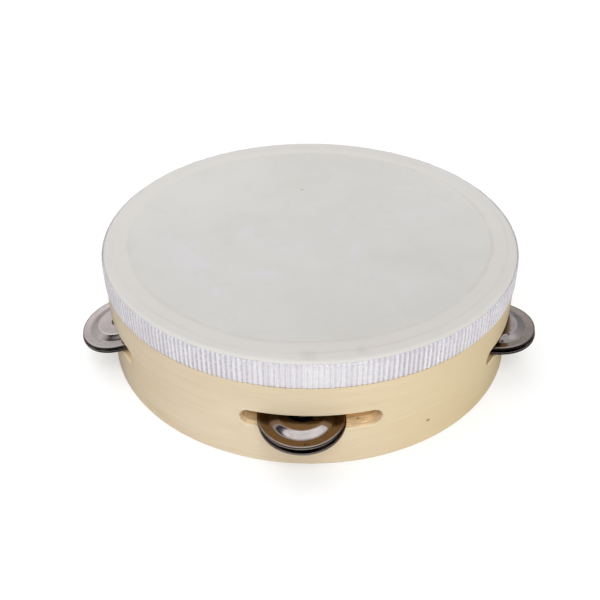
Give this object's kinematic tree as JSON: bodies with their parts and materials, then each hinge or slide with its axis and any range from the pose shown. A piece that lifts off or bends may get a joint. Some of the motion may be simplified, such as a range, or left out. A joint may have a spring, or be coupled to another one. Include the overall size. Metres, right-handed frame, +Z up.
{
  "type": "tambourine",
  "caption": "Small wooden tambourine: bent plywood hoop, hide head under a ribbed tape, and loose metal jingle pairs sliding on pins in slots.",
  "frame": {"origin": "centre of the hoop in the plane of its open lower edge, which is the face it stands on", "axes": "+Z up along the hoop's axis towards the head, -Y towards the front slot, +X to the right seen from the front"},
  "size_m": [0.1629, 0.161, 0.0426],
  "materials": {
    "birch": "bare sanded veneer, slot faces lightly scorched by the cutter",
    "birch_core": "bare veneer seen edge on",
    "hide": "matt translucent natural hide",
    "tape": "white ribbed cotton tape",
    "nickel": "bright nickel-plated pressed steel",
    "steel_wire": "plain steel nail"
  },
  "bodies": {
    "root": {"outer_ply": "birch", "core_ply": "birch_core", "inner_ply": "birch", "skin_head": "hide", "ribbon_trim": "tape", "pin_1": "steel_wire", "pin_2": "steel_wire", "pin_3": "steel_wire", "pin_4": "steel_wire", "pin_5": "steel_wire"},
    "jingle_1_upper": {"jingle_1_upper": "nickel"},
    "jingle_1_lower": {"jingle_1_lower": "nickel"},
    "jingle_2_upper": {"jingle_2_upper": "nickel"},
    "jingle_2_lower": {"jingle_2_lower": "nickel"},
    "jingle_3_upper": {"jingle_3_upper": "nickel"},
    "jingle_3_lower": {"jingle_3_lower": "nickel"},
    "jingle_4_upper": {"jingle_4_upper": "nickel"},
    "jingle_4_lower": {"jingle_4_lower": "nickel"},
    "jingle_5_upper": {"jingle_5_upper": "nickel"},
    "jingle_5_lower": {"jingle_5_lower": "nickel"}
  },
  "joints": [
    {"name": "jingle_1_upper_slide", "type": "slide", "parent": "root", "child": "jingle_1_upper", "axis": [0, 0, 1], "range_m": [0, 0.00045]},
    {"name": "jingle_1_lower_slide", "type": "slide", "parent": "root", "child": "jingle_1_lower", "axis": [0, 0, 1], "range_m": [0, 0.0008]},
    {"name": "jingle_2_upper_slide", "type": "slide", "parent": "root", "child": "jingle_2_upper", "axis": [0, 0, 1], "range_m": [0, 0.0011]},
    {"name": "jingle_2_lower_slide", "type": "slide", "parent": "root", "child": "jingle_2_lower", "axis": [0, 0, 1], "range_m": [0, 0.0006]},
    {"name": "jingle_3_upper_slide", "type": "slide", "parent": "root", "child": "jingle_3_upper", "axis": [0, 0, 1], "range_m": [0, 0.0009]},
    {"name": "jingle_3_lower_slide", "type": "slide", "parent": "root", "child": "jingle_3_lower", "axis": [0, 0, 1], "range_m": [0, 0.0005]},
    {"name": "jingle_4_upper_slide", "type": "slide", "parent": "root", "child": "jingle_4_upper", "axis": [0, 0, 1], "range_m": [0, 0.00105]},
    {"name": "jingle_4_lower_slide", "type": "slide", "parent": "root", "child": "jingle_4_lower", "axis": [0, 0, 1], "range_m": [0, 0.0005]},
    {"name": "jingle_5_upper_slide", "type": "slide", "parent": "root", "child": "jingle_5_upper", "axis": [0, 0, 1], "range_m": [0, 0.00025]},
    {"name": "jingle_5_lower_slide", "type": "slide", "parent": "root", "child": "jingle_5_lower", "axis": [0, 0, 1], "range_m": [0, 0.0002]}
  ]
}
